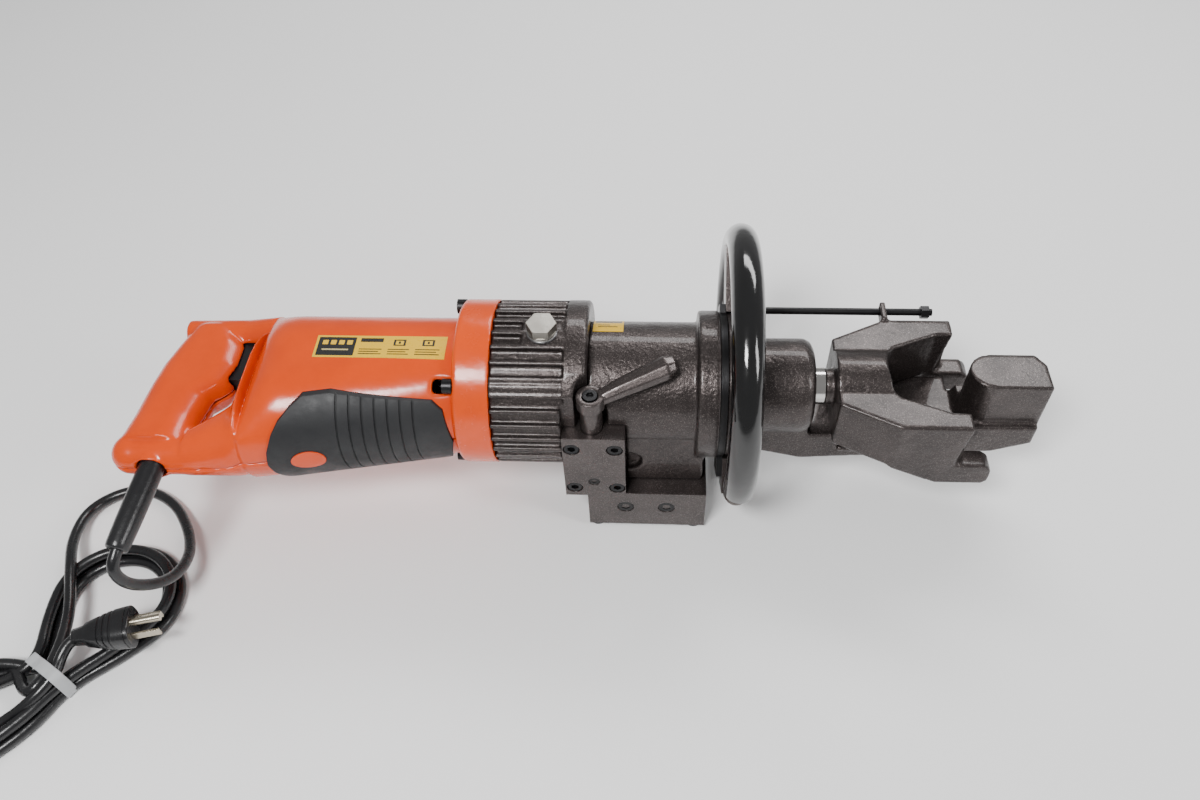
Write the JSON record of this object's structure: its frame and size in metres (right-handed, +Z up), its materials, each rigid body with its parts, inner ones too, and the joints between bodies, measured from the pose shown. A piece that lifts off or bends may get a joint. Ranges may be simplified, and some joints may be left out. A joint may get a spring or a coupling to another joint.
{
  "type": "portable electro-hydraulic rebar bender",
  "caption": "Handheld electro-hydraulic bender: D-handle motor, gear housing, ring handle and a ram that pushes a V-shaped block against a fixed post.",
  "frame": {"origin": "centre of the underside of the tool, without its cord, on the surface it rests on", "axes": "+X from the D-handle to the bending head, +Y towards the back of the D-handle's grip, +Z up with the release lever on top"},
  "size_m": [0.7529, 0.3717, 0.1947],
  "materials": {
    "orange_plastic": "glossy moulded orange plastic",
    "orange_paint": "glossy orange paint on an aluminium flange",
    "soft_rubber": "matt dark grey rubber, finely textured",
    "switch_black": "black moulded plastic",
    "cast_paint": "metallic gunmetal paint over a cast surface",
    "machined_paint": "metallic gunmetal paint over machined faces",
    "forged_steel": "metallic gunmetal paint over forged steel",
    "black_grip": "glossy black dipped coating",
    "brown_steel": "bare steel with a brownish film",
    "black_oxide": "black oxide",
    "polished_steel": "polished steel",
    "zinc_plate": "dull zinc plating",
    "soft_metal": "soft aluminium",
    "bright_steel": "ground steel",
    "copper": "copper segments and windings",
    "carbon": "pressed carbon",
    "seal_rubber": "black nitrile",
    "label_yellow": null,
    "cord_black": "glossy black cord jacket",
    "tie_grey": "light grey tie",
    "plug_nickel": "nickel plated brass"
  },
  "bodies": {
    "root": {"block_screws": "black_oxide", "brush_holders": "copper", "carbon_brushes": "carbon", "cord_guard": "cord_black", "cord_hank": "cord_black", "cord_lead": "cord_black", "cord_tie": "tie_grey", "cylinder_casting": "cast_paint", "feet": "seal_rubber", "filler_plug": "zinc_plate", "flange_screws": "black_oxide", "front_flange": "orange_paint", "gear_housing": "cast_paint", "gland_bush": "copper", "grip_inlay": "orange_plastic", "handle_plate": "black_oxide", "head_frame": "forged_steel", "head_screws": "black_oxide", "housing_screws": "black_oxide", "hydraulic_block": "machined_paint", "labels": "label_yellow", "large_bearings": "bright_steel", "limit_guide": "black_oxide", "motor_housing_lower": "orange_plastic", "motor_housing_upper": "orange_plastic", "plug_body": "cord_black", "plug_pins": "plug_nickel", "plug_washer": "soft_metal", "port_plugs": "black_oxide", "pump_plunger": "bright_steel", "return_spring": "bright_steel", "ring_arms": "machined_paint", "ring_core": "brown_steel", "ring_sleeve": "black_grip", "rod_seal": "seal_rubber", "small_bearings": "bright_steel", "soft_grip": "soft_rubber", "stator": "bright_steel", "stem_collar": "machined_paint", "switch_body": "switch_black", "wiper_ring": "seal_rubber"},
    "armature": {"motor_shaft": "bright_steel", "armature_core": "bright_steel", "commutator": "copper", "cooling_fan": "switch_black", "motor_pinion": "bright_steel"},
    "gear": {"drive_gear": "bright_steel", "eccentric_shaft": "bright_steel", "eccentric_roller": "bright_steel"},
    "ram": {"ram_rod": "polished_steel", "piston": "bright_steel", "piston_seal": "seal_rubber", "bending_block": "forged_steel", "set_screw": "black_oxide"},
    "limit": {"limit_rod": "black_oxide", "limit_nut": "black_oxide"},
    "lever": {"release_lever": "machined_paint", "lever_screw": "black_oxide", "valve_stem": "bright_steel"},
    "trigger": {"trigger": "switch_black"}
  },
  "joints": [
    {"name": "armature_spin", "type": "hinge", "parent": "root", "child": "armature", "pos_m": [-0.1446, -0.0155, 0.0974], "axis": [1, 0, 0], "continuous": true},
    {"name": "gear_spin", "type": "hinge", "parent": "root", "child": "gear", "pos_m": [-0.0346, -0.0155, 0.0749], "axis": [1, 0, 0], "continuous": true},
    {"name": "ram_slide", "type": "slide", "parent": "root", "child": "ram", "axis": [1, 0, 0], "range_m": [-0.01, 0.0235], "deforming": ["return_spring"]},
    {"name": "limit_slide", "type": "slide", "parent": "root", "child": "limit", "axis": [1, 0, 0], "range_m": [0, 0.004], "stiffness_N_per_m": 300},
    {"name": "lever_turn", "type": "hinge", "parent": "root", "child": "lever", "pos_m": [0.0081, -0.0575, 0.1284], "axis": [0, 0, -1], "range_deg": [0, 90]},
    {"name": "trigger_slide", "type": "slide", "parent": "root", "child": "trigger", "axis": [-1, 0, 0], "range_m": [0, 0.006], "stiffness_N_per_m": 400}
  ],
  "couplings": [
    {"joint": "gear_spin", "follows": "armature_spin", "ratio": -0.28571}
  ]
}
